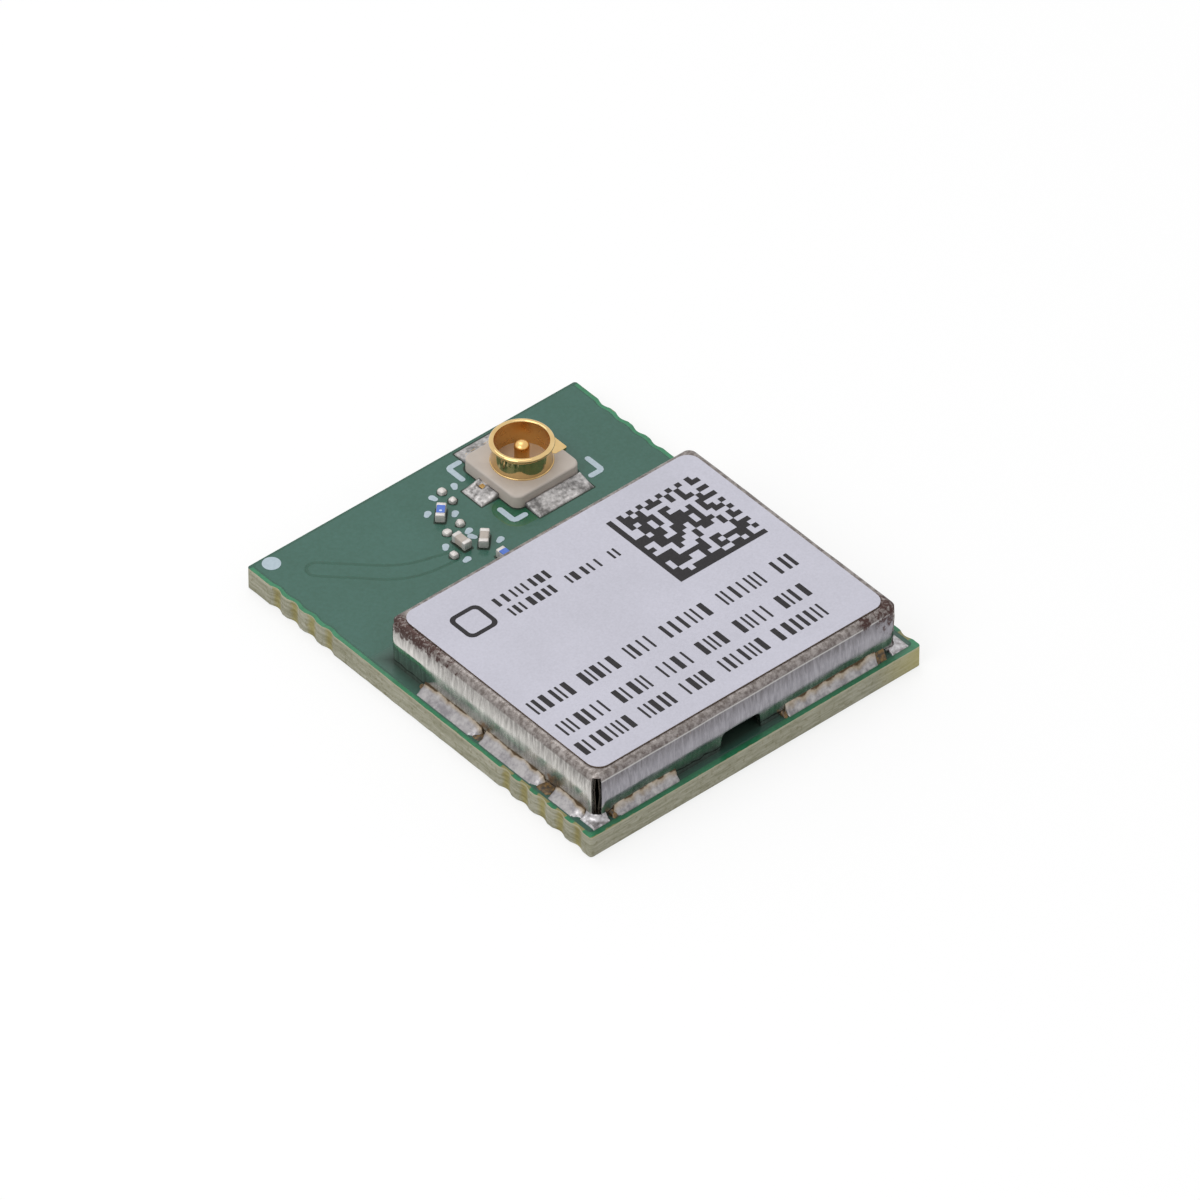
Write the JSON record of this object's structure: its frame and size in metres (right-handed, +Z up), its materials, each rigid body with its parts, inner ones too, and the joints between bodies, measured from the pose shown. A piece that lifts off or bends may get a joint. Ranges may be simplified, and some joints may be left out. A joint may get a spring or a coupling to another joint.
{
  "type": "short-range radio module",
  "caption": "Small radio module: circuit board with a soldered sheet-metal shield can, a push-on coaxial antenna port with matching chips, and contact lands underneath.",
  "frame": {"origin": "middle of the board's underside, on the plane of the contact lands", "axes": "+X along the short edges, +Y along the long edges towards the antenna port, +Z up out of the component side"},
  "size_m": [0.013, 0.0156, 0.0026],
  "materials": {
    "board": "green solder mask on glass-epoxy laminate",
    "gold_plating": "bright gold plating",
    "tinned_steel": "tinned sheet, brushed, tarnished at the bends",
    "label_film": "matt film",
    "solder": "grainy reflowed solder",
    "housing_polymer": "moulded, matt",
    "inductor_ceramic": "glazed blue top, tinned ends",
    "capacitor_ceramic": "fired ceramic, tinned ends",
    "mould_compound": "moulded epoxy",
    "tinned_copper": "tinned",
    "crystal_ceramic": "fired ceramic",
    "ferrite": "pressed ferrite, tinned ends"
  },
  "bodies": {
    "root": {"circuit_board": "board", "lands_left": "gold_plating", "lands_right": "gold_plating", "lands_front": "gold_plating", "shield_can": "tinned_steel", "shield_label": "label_film", "shield_solder_left": "solder", "shield_solder_right": "solder", "shield_solder_front": "solder", "shield_solder_back": "solder", "shield_solder_corners": "solder", "coax_housing": "housing_polymer", "coax_shell": "gold_plating", "coax_pin": "gold_plating", "coax_solder_front": "solder", "coax_solder_back": "solder", "coax_solder_signal": "solder", "chip_inductor_1": "inductor_ceramic", "chip_inductor_2": "inductor_ceramic", "chip_capacitor_1": "capacitor_ceramic", "chip_capacitor_2": "capacitor_ceramic", "spare_pad_solder": "solder", "radio_chip": "mould_compound", "radio_chip_leadframe": "tinned_copper", "amplifier_chip": "mould_compound", "amplifier_chip_leadframe": "tinned_copper", "crystal_base": "crystal_ceramic", "crystal_lid": "tinned_steel", "supply_inductor": "ferrite", "inner_capacitor_1": "capacitor_ceramic", "inner_capacitor_2": "capacitor_ceramic", "inner_capacitor_3": "capacitor_ceramic", "inner_capacitor_4": "capacitor_ceramic", "inner_capacitor_5": "capacitor_ceramic", "inner_capacitor_6": "capacitor_ceramic"}
  },
  "joints": []
}
